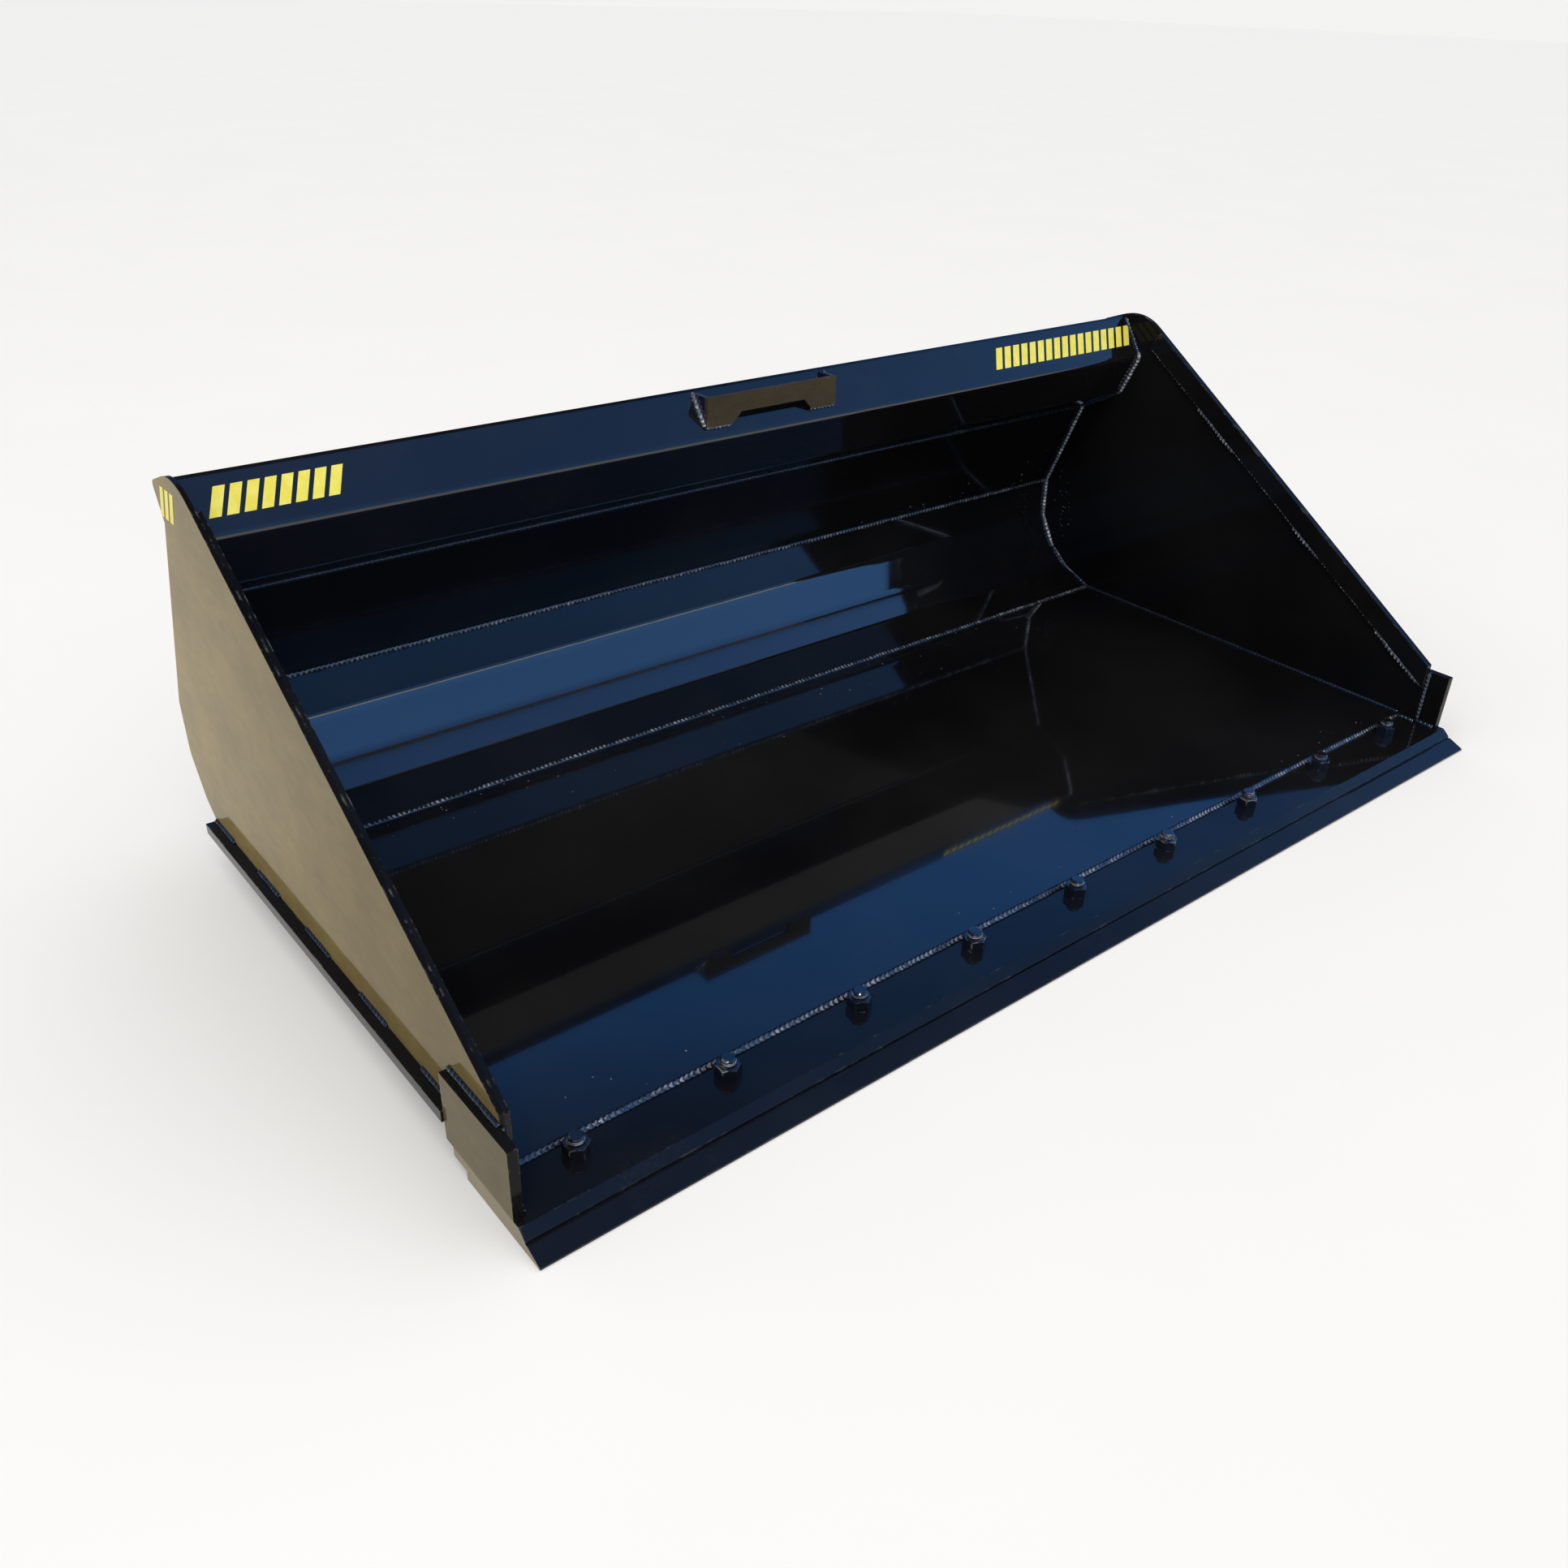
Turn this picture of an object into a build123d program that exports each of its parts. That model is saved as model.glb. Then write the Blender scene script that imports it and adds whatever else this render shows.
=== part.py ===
from build123d import *
from math import cos, radians, sin, tan
import os

# Skid steer bucket, 72 in wide, with a bolt-on cutting edge and a quick-attach back.
# Millimetres. +X is to the right as seen from the open front, -Y is the open front and +Z is up.
# The origin is at the middle of the width and of the depth, on the ground.
# Profiles are drawn as (distance back from the blade tip, height above the ground).

os.makedirs("parts", exist_ok=True)

LEFT, RIGHT = -1, 1

# Plate and bar stock
PLATE = 6.35
MOUNT_PLATE = 9.525
BASE_EDGE_THICK = 12.7
BOLT_ON_THICK = 12.7
CUTTER_THICK = 12.7

# Widths across the bucket
BLADE_WIDTH = 1828.8
SIDE_OUTER = BLADE_WIDTH / 2 - CUTTER_THICK
SIDE_INNER = SIDE_OUTER - PLATE
MOUNT_WIDTH = 1156.0

# Cutting edges
BLADE_DEPTH = 152.4
BLADE_NOSE = 2.5
BOLT_ON_BEVEL = 24.0
BASE_EDGE_SETBACK = 28.0
BASE_EDGE_BEVEL = 12.0

# Plow bolts and nuts, 3/4 in
BOLT_COUNT = 9
BOLT_PITCH = 203.2
BOLT_SETBACK = 94.0
BOLT_DIAMETER = 19.05
BOLT_LENGTH = 50.8
BOLT_HEAD_DIAMETER = 34.9
BOLT_HEAD_HEIGHT = 9.5
BOLT_END_CHAMFER = 1.5
NECK_CLEARANCE = 0.6
HOLE_CLEARANCE = 0.8
NUT_FLATS = 28.575
NUT_HEIGHT = 16.3
NUT_FACE_DIAMETER = 27.4
NUT_CHAMFER_ANGLE = 30.0
NUT_BORE_CLEARANCE = 0.05

# Shell: floor, heel and back, as one profile along the inside face
FLOOR_FRONT = 118.0
FLOOR_REAR = 830.0
HEEL_FACETS = [(71.1, 21.7), (56.0, 38.5), (66.5, 59.2), (77.0, 88.5)]
HEEL_BEND_RADIUS = 30.0
BACK_ANGLE = 111.8
BACK_HEIGHT = 383.0

# Top channel, as steps along its outside face from the top of the back sheet
CHANNEL_BAND = (78.8, 234.3)
CHANNEL_NOSE = (82.3, 294.4)
CHANNEL_UNDER_ANGLE = 332.1
CHANNEL_BEND_RADIUS = 6.0
HOOK_BEND_RADIUS = 3.0

# Quick-attach back, measured up the back sheet from the heel seam
HOOK_UP = 316.0
HOOK_ANGLE = 45.0
HOOK_LIP = 50.0
LATCH_DOWN = 141.0
LATCH_ANGLE = 30.0
LATCH_LENGTH = 64.0
LATCH_SLOT_SPACING = 1042.0
LATCH_SLOT = (64.0, 28.6)
LATCH_SLOT_SETBACK = 12.0
MOUNT_TOP_GAP = 12.7
MOUNT_RIB_COUNT = 3
MOUNT_RIB_SPACING = 289.0
RIB_REACH = 48.0

# Side plates
SIDE_FRONT = 86.0
SIDE_FRONT_TOP = 134.0
SIDE_SLOPE = 33.5
SIDE_HEAD_RADIUS = 93.0
SIDE_HEAD_MARGIN = 3.0
HORN_RADIUS = 8.0

# Bars on the side plates
EDGE_BAR_WIDTH = 34.0
EDGE_BAR_TOP = 763.0
CUTTER_FRONT = 50.0
CUTTER_LENGTH = 146.0
CUTTER_HEIGHT = 95.25
RUB_BAR_WIDTH = 15.875
RUB_BAR_HEIGHT = 15.875
RUB_BAR_BOTTOM = 50.8
RUB_BAR_REAR = 915.0

# Guard on the middle of the top channel
GUARD_HALF_WIDTH = 127.0
GUARD_SETBACK = 794.2
GUARD_BOTTOM = 536.5
GUARD_TOP = 581.0
NOTCH_HALF_WIDTHS = (78.0, 62.0)
NOTCH_HEIGHT = 16.0

# Wear bars under the floor
WEAR_BAR_COUNT = 4
WEAR_BAR_SPACING = 508.0
WEAR_BAR_WIDTH = 76.2
WEAR_BAR_FRONT = 200.0
WEAR_BAR_NOSE = 20.0


def step_from(start, length, angle):
    """Point at a length and an angle in degrees from another point of the profile."""
    return start + Vector(cos(radians(angle)), sin(radians(angle))) * length


def crossing(start_a, way_a, start_b, way_b):
    """Where two lines of the profile cross, each given by a point and a direction."""
    apart = start_b - start_a
    turn = way_a.X * way_b.Y - way_a.Y * way_b.X
    return start_a + way_a * ((apart.X * way_b.Y - apart.Y * way_b.X) / turn)


def parallel(points, distance):
    """Path beside a path of straight runs, to its right, with its corners mitred."""
    ways = [(b - a).normalized() for a, b in zip(points, points[1:])]
    sides = [Vector(way.Y, -way.X) * distance for way in ways]
    moved = [points[0] + sides[0]]
    runs = list(zip(ways, sides))
    for corner, (way, side), (next_way, next_side) in zip(points[1:], runs, runs[1:]):
        moved.append(crossing(corner + side, way, corner + next_side, next_way))
    moved.append(points[-1] + sides[-1])
    return moved


def ended_on(points, wall_point, wall_way):
    """The same path with both ends moved along their runs to meet a wall."""
    first = crossing(points[0], points[1] - points[0], wall_point, wall_way)
    last = crossing(points[-1], points[-1] - points[-2], wall_point, wall_way)
    return [first, *points[1:-1], last]


# Shell profile
base_edge_top = BOLT_ON_THICK + BASE_EDGE_THICK
floor_top = base_edge_top + PLATE
shell_inside = [Vector(FLOOR_FRONT, floor_top), Vector(FLOOR_REAR, floor_top)]
for facet_length, facet_angle in HEEL_FACETS:
    shell_inside.append(step_from(shell_inside[-1], facet_length, facet_angle))
heel_seam = shell_inside[-1]
shell_inside.append(step_from(heel_seam, BACK_HEIGHT, BACK_ANGLE))
shell_outside = parallel(shell_inside, PLATE)

back_way = Vector(cos(radians(BACK_ANGLE)), sin(radians(BACK_ANGLE)))
back_outward = Vector(back_way.Y, -back_way.X)


def on_back(up, outward):
    """Point measured up the back sheet from the heel seam, and outward from its inside face."""
    return heel_seam + back_way * up + back_outward * outward


# Quick-attach profile
mount_face = PLATE + MOUNT_PLATE
hook_root = on_back(HOOK_UP, PLATE)
hook_tip = step_from(hook_root, HOOK_LIP, BACK_ANGLE - HOOK_ANGLE)
latch_root = on_back(-LATCH_DOWN, mount_face)
latch_slope = BACK_ANGLE - 90 - LATCH_ANGLE
latch_tip = step_from(latch_root, LATCH_LENGTH, latch_slope)
latch_way = (latch_tip - latch_root).normalized()
latch_under = Vector(latch_way.Y, -latch_way.X)
latch_front = crossing(latch_root, latch_way, hook_root, back_way)

depth = latch_tip.X


def section(points, radii=None, plane=Plane.YZ):
    """Face with the profile points as its corners, each rounded to its radius if one is given."""
    corners = [Vector(point.X - depth / 2, point.Y) for point in points]
    with BuildSketch(plane) as face:
        with BuildLine():
            FilletPolyline(*corners, radius=radii or [0] * len(corners), close=True)
        make_face()
    return face.sketch


def bent_section(outside, inside, bend_radius):
    """Section of a bent plate between its outside face and its inside face."""
    bends = len(outside) - 2
    outer_radii = [0, *[bend_radius + PLATE] * bends, 0]
    inner_radii = [0, *[bend_radius] * bends, 0]
    return section([*outside, *reversed(inside)], outer_radii + inner_radii)


def full_width(face):
    """Plate of this section between the two side plates."""
    with BuildPart() as plate:
        extrude(face, amount=SIDE_INNER, both=True)
    return plate


def save(piece, name):
    """Labels a finished piece and writes its STEP file."""
    piece.part.label = name
    export_step(piece.part, f"parts/{name}.step")


# Shell sheets
floor_sheet = full_width(section([*shell_inside[:2], *reversed(shell_outside[:2])]))
heel_plate = full_width(bent_section(shell_outside[1:-1], shell_inside[1:-1], HEEL_BEND_RADIUS))
back_sheet = full_width(section([*shell_inside[-2:], *reversed(shell_outside[-2:])]))


# Top channel, closed at the back by the back sheet
band_top = shell_inside[-1]
band_bottom = step_from(band_top, *CHANNEL_BAND)
nose_bottom = step_from(band_bottom, *CHANNEL_NOSE)
under_way = step_from(Vector(0, 0), 1, CHANNEL_UNDER_ANGLE)
under_end = crossing(nose_bottom, under_way, heel_seam, back_way)
channel_outside = [band_top, band_bottom, nose_bottom, under_end]
channel_inside = ended_on(parallel(channel_outside, -PLATE), heel_seam, back_way)
top_channel = full_width(bent_section(channel_outside, channel_inside, CHANNEL_BEND_RADIUS))


# Hook flange: a lip and a cap behind the top of the back sheet
hook_outside = [hook_root, hook_tip, shell_outside[-1]]
hook_inside = ended_on(parallel(hook_outside, -PLATE), hook_root, back_way)
hook_flange = full_width(bent_section(hook_outside, hook_inside, HOOK_BEND_RADIUS))


# Side plates
slope_way = step_from(Vector(0, 0), 1, SIDE_SLOPE)
side_corner = Vector(SIDE_FRONT, SIDE_FRONT_TOP)
cap_way = (hook_tip - shell_outside[-1]).normalized()
cap_start = shell_outside[-1] + Vector(-cap_way.Y, cap_way.X) * SIDE_HEAD_MARGIN
head_corner = crossing(side_corner, slope_way, cap_start, cap_way)
lip_way = (hook_tip - hook_root).normalized()
horn = crossing(cap_start, cap_way, hook_root, lip_way)
heel_radii = [HEEL_BEND_RADIUS + PLATE] * (len(HEEL_FACETS) - 1)
side_outline = [
    Vector(SIDE_FRONT, base_edge_top),
    side_corner,
    head_corner,
    horn,
    hook_root,
    *reversed(shell_outside[1:-1]),
]
side_radii = [0, 0, SIDE_HEAD_RADIUS, HORN_RADIUS, 0, 0, *heel_radii, 0]


def side_plate(side):
    """Side plate, covering the ends of the shell, the channel and the hook flange."""
    inner_face = Plane.YZ.offset(side * SIDE_INNER)
    with BuildPart() as plate:
        extrude(section(side_outline, side_radii, inner_face), amount=side * PLATE)
    return plate


# Edge bars, along the sloping front of the side plates
slope_inward = Vector(slope_way.Y, -slope_way.X)
bar_inner_edge = side_corner + slope_inward * EDGE_BAR_WIDTH
bar_front_inner = crossing(bar_inner_edge, slope_way, side_corner, Vector(0, 1))
bar_top_inner = crossing(bar_inner_edge, slope_way, Vector(EDGE_BAR_TOP, 0), Vector(0, 1))
bar_top_outer = bar_top_inner - slope_inward * EDGE_BAR_WIDTH
bar_outline = [side_corner, bar_top_outer, bar_top_inner, bar_front_inner]


def edge_bar(side):
    """Flat bar on the inside of a side plate."""
    plate_face = Plane.YZ.offset(side * SIDE_INNER)
    with BuildPart() as bar:
        extrude(section(bar_outline, plane=plate_face), amount=-side * PLATE)
    return bar


def side_block(side, front, rear, bottom, top, thick):
    """Rectangular bar flat against the outside of a side plate."""
    outline = [Vector(front, bottom), Vector(front, top), Vector(rear, top), Vector(rear, bottom)]
    plate_face = Plane.YZ.offset(side * SIDE_OUTER)
    with BuildPart() as bar:
        extrude(section(outline, plane=plate_face), amount=side * thick)
    return bar


def side_cutter(side):
    """Thick wear plate at the front bottom corner, standing on the base edge."""
    rear = CUTTER_FRONT + CUTTER_LENGTH
    top = base_edge_top + CUTTER_HEIGHT
    return side_block(side, CUTTER_FRONT, rear, base_edge_top, top, CUTTER_THICK)


def rub_bar(side):
    """Bar along the lower outside of the side plate, behind the cutter."""
    front = CUTTER_FRONT + CUTTER_LENGTH
    top = RUB_BAR_BOTTOM + RUB_BAR_HEIGHT
    return side_block(side, front, RUB_BAR_REAR, RUB_BAR_BOTTOM, top, RUB_BAR_WIDTH)


# Cutting edges
def bevelled_edge(front, bottom, thick, bevel):
    """Section of a cutting edge with a bevel on the top of its front."""
    return section([
        Vector(front, bottom),
        Vector(front, bottom + BLADE_NOSE),
        Vector(front + bevel, bottom + thick),
        Vector(front + BLADE_DEPTH, bottom + thick),
        Vector(front + BLADE_DEPTH, bottom),
    ])


def bolt_plane(height):
    """Level plane at a height, centred on the row of bolts."""
    return Plane(origin=(0, BOLT_SETBACK - depth / 2, height))


neck_side = BOLT_DIAMETER + 2 * NECK_CLEARANCE
with BuildPart() as bolt_on_edge:
    extrude(bevelled_edge(0, 0, BOLT_ON_THICK, BOLT_ON_BEVEL), amount=BLADE_WIDTH / 2, both=True)
    with BuildSketch(bolt_plane(0)):
        with GridLocations(BOLT_PITCH, 0, BOLT_COUNT, 1):
            Rectangle(neck_side, neck_side)
    extrude(amount=BOLT_ON_THICK, mode=Mode.SUBTRACT)
    with Locations(bolt_plane(0)):
        with GridLocations(BOLT_PITCH, 0, BOLT_COUNT, 1):
            Cone(
                bottom_radius=BOLT_HEAD_DIAMETER / 2 + NECK_CLEARANCE,
                top_radius=BOLT_DIAMETER / 2,
                height=BOLT_HEAD_HEIGHT + NECK_CLEARANCE,
                align=(Align.CENTER, Align.CENTER, Align.MIN),
                mode=Mode.SUBTRACT,
            )

with BuildPart() as base_edge:
    extrude(
        bevelled_edge(BASE_EDGE_SETBACK, BOLT_ON_THICK, BASE_EDGE_THICK, BASE_EDGE_BEVEL),
        amount=BLADE_WIDTH / 2,
        both=True,
    )
    with BuildSketch(bolt_plane(BOLT_ON_THICK)):
        with GridLocations(BOLT_PITCH, 0, BOLT_COUNT, 1):
            Circle(BOLT_DIAMETER / 2 + HOLE_CLEARANCE)
    extrude(amount=BASE_EDGE_THICK, mode=Mode.SUBTRACT)


# Plow bolts: countersunk head, square neck, round shank
with BuildPart() as plow_bolt:
    Cone(
        bottom_radius=BOLT_HEAD_DIAMETER / 2,
        top_radius=BOLT_DIAMETER / 2,
        height=BOLT_HEAD_HEIGHT,
        align=(Align.CENTER, Align.CENTER, Align.MIN),
    )
    with BuildSketch():
        Rectangle(BOLT_DIAMETER, BOLT_DIAMETER)
    extrude(amount=BOLT_ON_THICK)
    with BuildSketch():
        Circle(BOLT_DIAMETER / 2)
    extrude(amount=BOLT_LENGTH)
    chamfer(plow_bolt.edges().sort_by(Axis.Z)[-1], length=BOLT_END_CHAMFER)

with BuildPart() as hex_nut:
    with BuildSketch():
        RegularPolygon(NUT_FLATS / 2, 6, major_radius=False, rotation=30)
    extrude(amount=NUT_HEIGHT)
    Cone(
        bottom_radius=NUT_FACE_DIAMETER / 2 + NUT_HEIGHT / tan(radians(NUT_CHAMFER_ANGLE)),
        top_radius=NUT_FACE_DIAMETER / 2,
        height=NUT_HEIGHT,
        align=(Align.CENTER, Align.CENTER, Align.MIN),
        mode=Mode.INTERSECT,
    )
    Hole(BOLT_DIAMETER / 2 + NUT_BORE_CLEARANCE)


def bolt_row(fastener, height):
    """One fastener at every bolt hole."""
    with BuildPart() as row:
        with Locations(bolt_plane(height)):
            with GridLocations(BOLT_PITCH, 0, BOLT_COUNT, 1):
                add(fastener.part)
    return row


# Guard on the middle of the top channel
band_way = (band_top - band_bottom).normalized()
guard_rear = GUARD_SETBACK + PLATE
guard_foot = crossing(Vector(guard_rear, 0), Vector(0, 1), band_bottom, band_way)
guard_head = crossing(Vector(0, GUARD_TOP), Vector(1, 0), band_bottom, band_way)
gusset_outline = [guard_foot, Vector(guard_rear, GUARD_TOP), guard_head]

with BuildPart() as guard_plate:
    with BuildSketch(Plane.XZ.offset(depth / 2 - guard_rear)):
        with BuildLine():
            Polyline(
                (-GUARD_HALF_WIDTH, GUARD_BOTTOM),
                (-GUARD_HALF_WIDTH, GUARD_TOP),
                (GUARD_HALF_WIDTH, GUARD_TOP),
                (GUARD_HALF_WIDTH, GUARD_BOTTOM),
                (NOTCH_HALF_WIDTHS[0], GUARD_BOTTOM),
                (NOTCH_HALF_WIDTHS[1], GUARD_BOTTOM + NOTCH_HEIGHT),
                (-NOTCH_HALF_WIDTHS[1], GUARD_BOTTOM + NOTCH_HEIGHT),
                (-NOTCH_HALF_WIDTHS[0], GUARD_BOTTOM),
                close=True,
            )
        make_face()
    extrude(amount=PLATE)


def guard_gusset(side):
    """Triangular plate between one end of the guard plate and the band."""
    end_plane = Plane.YZ.offset(side * GUARD_HALF_WIDTH)
    with BuildPart() as gusset:
        extrude(section(gusset_outline, plane=end_plane), amount=-side * PLATE)
    return gusset


# Quick-attach mount plate, standing on the latch flange
mount_outline = [
    latch_front,
    on_back(HOOK_UP - MOUNT_TOP_GAP, PLATE),
    on_back(HOOK_UP - MOUNT_TOP_GAP, mount_face),
    latch_root,
]
with BuildPart() as mount_plate:
    extrude(section(mount_outline), amount=MOUNT_WIDTH / 2, both=True)

latch_underside = latch_root + latch_under * MOUNT_PLATE
latch_foot = crossing(latch_underside, latch_way, hook_root, back_way)
latch_outline = [latch_front, latch_tip, latch_tip + latch_under * MOUNT_PLATE, latch_foot]
slot_middle = latch_root + latch_way * (LATCH_SLOT_SETBACK + LATCH_SLOT[1] / 2)
slot_plane = Plane(
    origin=(0, slot_middle.X - depth / 2, slot_middle.Y),
    x_dir=(1, 0, 0),
    z_dir=(0, -latch_way.Y, latch_way.X),
)
with BuildPart() as latch_flange:
    extrude(section(latch_outline), amount=MOUNT_WIDTH / 2, both=True)
    with BuildSketch(slot_plane):
        with GridLocations(LATCH_SLOT_SPACING, 0, 2, 1):
            Rectangle(*LATCH_SLOT)
    extrude(amount=MOUNT_PLATE, both=True, mode=Mode.SUBTRACT)


# Gussets and ribs between the heel, the mount plate and the latch flange
rib_foot = (shell_outside[2] + shell_outside[3]) * 0.5
rib_outline = [
    shell_outside[5],
    latch_foot,
    latch_underside + latch_way * RIB_REACH,
    rib_foot,
    *shell_outside[3:5],
]


def mount_rib(middle):
    """Rib of mount plate thickness, centred at a distance across the bucket."""
    with BuildPart() as rib:
        extrude(section(rib_outline, plane=Plane.YZ.offset(middle)), amount=MOUNT_PLATE / 2, both=True)
    return rib


def wear_bar(middle):
    """Bar under the floor, with its front and rear ends sloped up to the floor."""
    outline = [
        Vector(WEAR_BAR_FRONT, base_edge_top),
        Vector(WEAR_BAR_FRONT + WEAR_BAR_NOSE, 0),
        Vector(FLOOR_REAR - WEAR_BAR_NOSE, 0),
        Vector(FLOOR_REAR, base_edge_top),
    ]
    with BuildPart() as bar:
        extrude(section(outline, plane=Plane.YZ.offset(middle)), amount=WEAR_BAR_WIDTH / 2, both=True)
    return bar


# Every piece by name
pieces = {
    "floor_sheet": floor_sheet,
    "heel_plate": heel_plate,
    "back_sheet": back_sheet,
    "top_channel": top_channel,
    "hook_flange": hook_flange,
    "bolt_on_edge": bolt_on_edge,
    "base_edge": base_edge,
    "plow_bolts": bolt_row(plow_bolt, 0),
    "hex_nuts": bolt_row(hex_nut, base_edge_top),
    "guard_plate": guard_plate,
    "mount_plate": mount_plate,
    "latch_flange": latch_flange,
}
for word, side in (("left", LEFT), ("right", RIGHT)):
    pieces[f"side_plate_{word}"] = side_plate(side)
    pieces[f"edge_bar_{word}"] = edge_bar(side)
    pieces[f"side_cutter_{word}"] = side_cutter(side)
    pieces[f"rub_bar_{word}"] = rub_bar(side)
    pieces[f"guard_gusset_{word}"] = guard_gusset(side)
    pieces[f"mount_gusset_{word}"] = mount_rib(side * (MOUNT_WIDTH - MOUNT_PLATE) / 2)
for number in range(MOUNT_RIB_COUNT):
    middle = (number - (MOUNT_RIB_COUNT - 1) / 2) * MOUNT_RIB_SPACING
    pieces[f"mount_rib_{number + 1}"] = mount_rib(middle)
for number in range(WEAR_BAR_COUNT):
    middle = (number - (WEAR_BAR_COUNT - 1) / 2) * WEAR_BAR_SPACING
    pieces[f"wear_bar_{number + 1}"] = wear_bar(middle)

for name, piece in pieces.items():
    save(piece, name)
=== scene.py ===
import math
import random

import bpy
from mathutils import Matrix, Vector, noise


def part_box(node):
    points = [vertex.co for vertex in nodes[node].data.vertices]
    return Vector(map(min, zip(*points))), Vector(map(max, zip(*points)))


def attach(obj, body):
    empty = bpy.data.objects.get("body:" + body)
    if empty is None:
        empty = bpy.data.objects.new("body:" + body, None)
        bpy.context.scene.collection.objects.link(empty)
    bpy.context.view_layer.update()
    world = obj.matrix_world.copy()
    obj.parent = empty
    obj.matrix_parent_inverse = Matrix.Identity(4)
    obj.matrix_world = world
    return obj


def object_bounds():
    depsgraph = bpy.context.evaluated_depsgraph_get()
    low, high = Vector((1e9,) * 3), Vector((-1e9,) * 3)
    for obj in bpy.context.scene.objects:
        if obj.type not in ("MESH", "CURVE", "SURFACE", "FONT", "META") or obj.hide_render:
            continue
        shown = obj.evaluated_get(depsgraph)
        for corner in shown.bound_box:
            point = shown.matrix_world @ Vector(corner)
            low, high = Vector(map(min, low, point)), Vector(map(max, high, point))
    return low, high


# Skid steer bucket: black paint, weld beads, bolt threads, stickers and a studio around the CAD frame.
# Metres. +X is across the bucket, -Y is its open front and +Z is up.
# The outlines lie in the plane x = 0 and are moved across the bucket by at_x.

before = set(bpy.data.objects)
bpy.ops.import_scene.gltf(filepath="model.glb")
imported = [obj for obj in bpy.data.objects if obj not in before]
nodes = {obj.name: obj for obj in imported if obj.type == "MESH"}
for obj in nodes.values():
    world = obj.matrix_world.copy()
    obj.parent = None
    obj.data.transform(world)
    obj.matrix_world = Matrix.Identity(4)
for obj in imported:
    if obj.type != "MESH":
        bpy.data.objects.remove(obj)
cad_low, cad_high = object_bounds()

LEFT, RIGHT = -1, 1
SIDES = (("left", LEFT), ("right", RIGHT))


# ---------------------------------------------------------------- places read from the frame

END_TOLERANCE = 1e-4


def outline(node, x):
    """Closed outline of a node's flat end at that x, in order, as points in the plane x = 0."""
    mesh = nodes[node].data
    edge_uses = {}
    for face in mesh.polygons:
        corners = [mesh.vertices[v].co for v in face.vertices]
        if max(abs(corner.x - x) for corner in corners) > END_TOLERANCE:
            continue
        keys = [(round(corner.y, 5), round(corner.z, 5)) for corner in corners]
        for a, b in zip(keys, keys[1:] + keys[:1]):
            pair = (min(a, b), max(a, b))
            edge_uses[pair] = edge_uses.get(pair, 0) + 1
    beside = {}
    for (a, b), uses in edge_uses.items():
        if uses == 1:
            beside.setdefault(a, []).append(b)
            beside.setdefault(b, []).append(a)
    start = min(beside)
    path, before, here = [start], None, start
    while True:
        ahead = [point for point in beside[here] if point != before][0]
        if ahead == start:
            return [Vector((0, *point)) for point in path]
        path.append(ahead)
        before, here = here, ahead


def nearest(points, target):
    """Index of the point nearest to a target."""
    return min(range(len(points)), key=lambda index: (points[index] - target).length)


def stretch(loop, start, end, via):
    """Part of a closed outline from one place to another, on the side that passes nearer to a third."""
    count = len(loop)
    first, last = nearest(loop, start), nearest(loop, end)
    ahead = [loop[(first + step) % count] for step in range((last - first) % count + 1)]
    astern = [loop[(first - step) % count] for step in range((first - last) % count + 1)]
    return min((ahead, astern), key=lambda path: min((point - via).length for point in path[1:-1] or path))


def at_x(points, x):
    """Outline points moved to a place across the bucket."""
    return [Vector((x, point.y, point.z)) for point in points]


X, Y, Z = Vector((1, 0, 0)), Vector((0, 1, 0)), Vector((0, 0, 1))
floor_low, floor_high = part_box("floor_sheet")
plate_low, plate_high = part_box("side_plate_right")
base_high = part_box("base_edge")[1]
cutter_low, cutter_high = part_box("side_cutter_right")
rub_low, rub_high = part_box("rub_bar_right")
nut_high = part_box("hex_nuts")[1]
guard_low, guard_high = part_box("guard_plate")
mount_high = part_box("mount_plate")[1]

inner_x = floor_high.x
outer_x = plate_high.x
sheet = floor_high.z - floor_low.z

heel_loop = outline("heel_plate", inner_x)
back_loop = outline("back_sheet", inner_x)
channel_loop = outline("top_channel", inner_x)
plate_loop = outline("side_plate_right", plate_high.x)
mount_loop = outline("mount_plate", mount_high.x)
bar_loop = outline("edge_bar_right", inner_x)
gusset_loop = outline("guard_gusset_right", guard_high.x)
hook_loop = outline("hook_flange", inner_x)

floor_front = Vector((0, floor_low.y, floor_high.z))
seam = min(back_loop, key=lambda point: point.z + point.y)
seam_outside = max(back_loop, key=lambda point: point.y)
back_top = min(back_loop, key=lambda point: point.y)
heel_foot = max((p for p in heel_loop if p.y < floor_high.y + sheet), key=lambda point: point.z)
heel_middle = (heel_foot + seam) / 2
heel_inside = stretch(heel_loop, heel_foot, seam, heel_middle)
heel_outside_foot = min(heel_loop, key=lambda point: point.z + point.y * 0.01)
channel_foot = min(channel_loop, key=lambda point: point.z)
channel_nose = min(channel_loop, key=lambda point: point.y)
channel_outside = stretch(channel_loop, channel_foot, back_top, channel_nose)
band_foot = channel_outside[-2]
band_up = (back_top - band_foot).normalized()
band_out = Vector((0, -band_up.z, band_up.y))
back_up = (back_top - seam).normalized()
back_out = Vector((0, back_up.z, -back_up.y))
hook_root = hook_loop[nearest(hook_loop, seam_outside)]
mount_top = min(mount_loop, key=lambda point: point.y)
latch_root = max(mount_loop, key=lambda point: point.y)


# ---------------------------------------------------------------- materials

def node_tree(name):
    """A new material with its nodes cleared, and its shader and output."""
    material = bpy.data.materials.new(name)
    material.use_nodes = True
    tree = material.node_tree
    tree.nodes.clear()
    output = tree.nodes.new("ShaderNodeOutputMaterial")
    shader = tree.nodes.new("ShaderNodeBsdfPrincipled")
    tree.links.new(shader.outputs["BSDF"], output.inputs["Surface"])
    return material, tree, shader


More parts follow.
